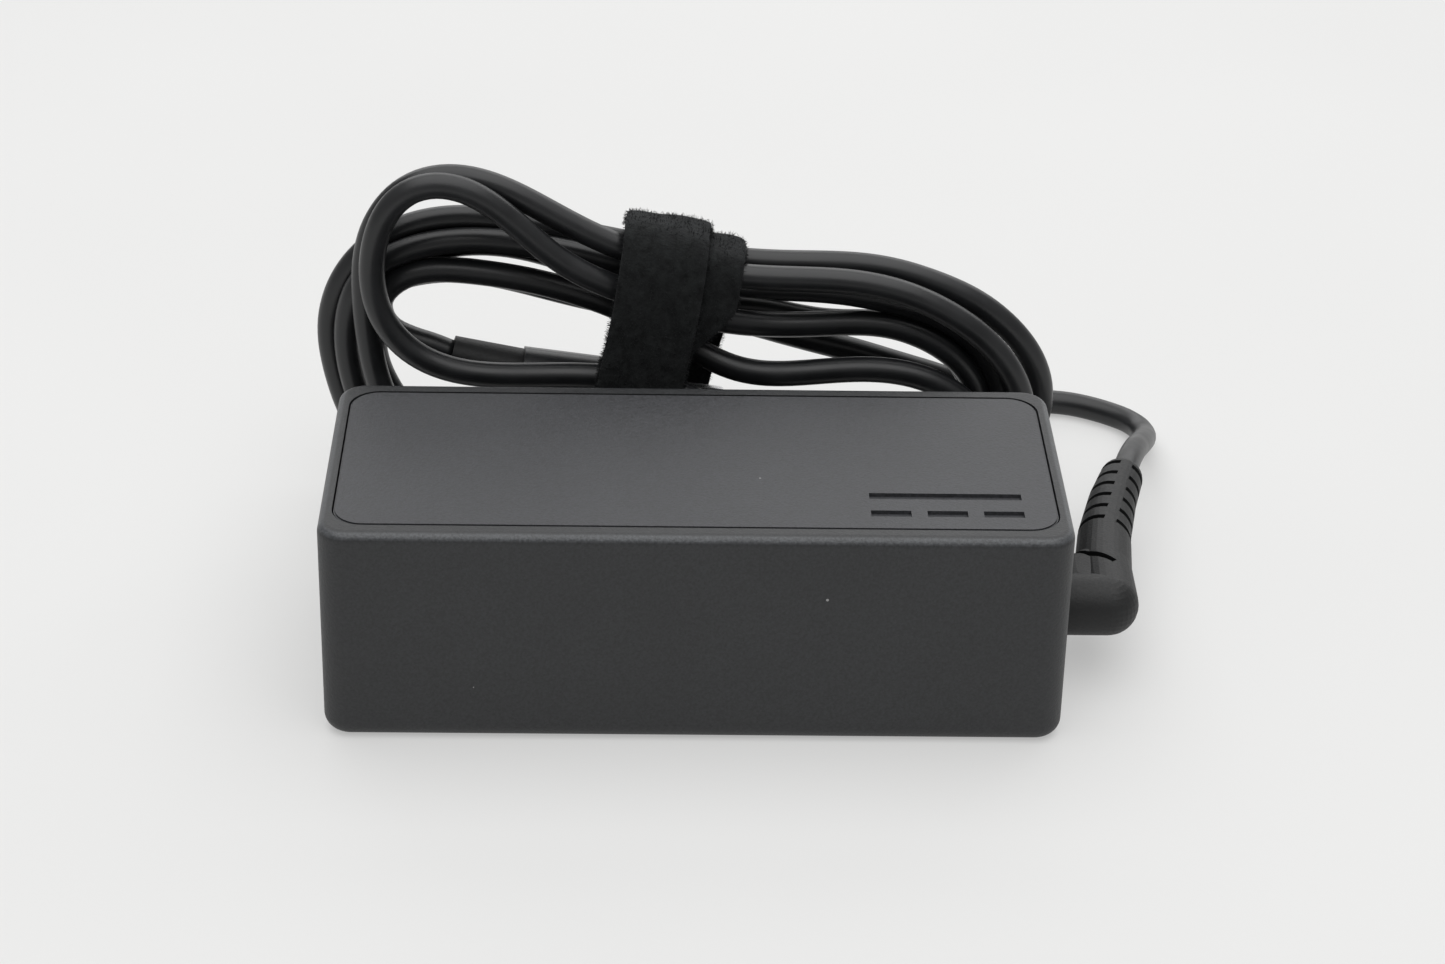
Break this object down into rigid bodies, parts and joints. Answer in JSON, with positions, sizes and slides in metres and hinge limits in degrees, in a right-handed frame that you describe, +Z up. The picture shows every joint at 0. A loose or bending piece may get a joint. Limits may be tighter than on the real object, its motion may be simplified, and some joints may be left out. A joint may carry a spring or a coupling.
{
  "type": "laptop power adapter",
  "caption": "Small black mains-to-DC laptop charger: a rounded box with a three-pin inlet, a slotted right-angle cord boot and a captive cord tied in a hank that ends in a slim plug.",
  "frame": {"origin": "middle of the case's underside", "axes": "+X towards the cord end of the case, +Y towards the back where the hank stands, +Z up"},
  "size_m": [0.1204, 0.0916, 0.056],
  "materials": {
    "housing": "fine matt grain, charcoal",
    "cover": "fine matt grain, charcoal",
    "label": "blank satin film",
    "inlet": "smooth black",
    "pins": "nickel plate",
    "ac_wire": "black insulation",
    "earth_wire": "green insulation",
    "dc_wire": "red insulation",
    "film": "translucent polypropylene film",
    "spreader": "mill finish sheet",
    "board": "green solder mask",
    "black_part": "moulded epoxy",
    "green_part": "lacquer",
    "yellow_part": "moulded shell and tape",
    "blue_part": "lacquer",
    "white_part": "moulded epoxy",
    "ferrite": "sintered ferrite",
    "copper": "enamelled copper wire",
    "capacitor_sleeve": "shrink sleeve",
    "boot": "soft matt moulding",
    "cord": "smooth satin jacket",
    "strap": "fuzzy hook-and-loop",
    "plug": "satin moulding",
    "plug_shell": "drawn stainless shell"
  },
  "bodies": {
    "adapter": {"housing_tub": "housing", "top_cover": "cover", "rating_label": "label", "inlet_body": "inlet", "inlet_pin_line": "pins", "inlet_pin_neutral": "pins", "inlet_pin_earth": "pins", "ac_leads": "ac_wire", "earth_lead": "earth_wire", "insulating_liner": "film", "heat_spreader": "spreader", "top_insulation": "film", "circuit_board": "board", "fuse": "black_part", "inrush_thermistor": "green_part", "x_capacitor": "yellow_part", "y_capacitor": "blue_part", "choke_core": "ferrite", "choke_windings": "copper", "bridge_rectifier": "black_part", "bulk_capacitor": "capacitor_sleeve", "switching_transistor": "black_part", "heat_sink": "spreader", "supply_capacitor": "capacitor_sleeve", "optocoupler": "white_part", "transformer_core_lower": "ferrite", "transformer_core_upper": "ferrite", "transformer_bobbin": "black_part", "transformer_winding": "copper", "transformer_tape": "yellow_part", "output_rectifier": "black_part", "port_controller": "black_part", "output_capacitors": "capacitor_sleeve", "output_inductor": "ferrite", "dc_leads": "dc_wire", "cord_boot": "boot", "cord_lead": "cord", "cord_hank": "cord", "strap": "strap", "plug_relief": "boot", "plug_grip": "plug", "plug_shell": "plug_shell", "plug_insert": "inlet"},
    "tab": {"strap_tab": "strap"}
  },
  "joints": [
    {"name": "strap_tab_peel", "type": "hinge", "parent": "adapter", "child": "tab", "pos_m": [-0.00289, 0.04845, 0.03734], "axis": [0.9945, 0, -0.1045], "range_deg": [0, 110]}
  ]
}
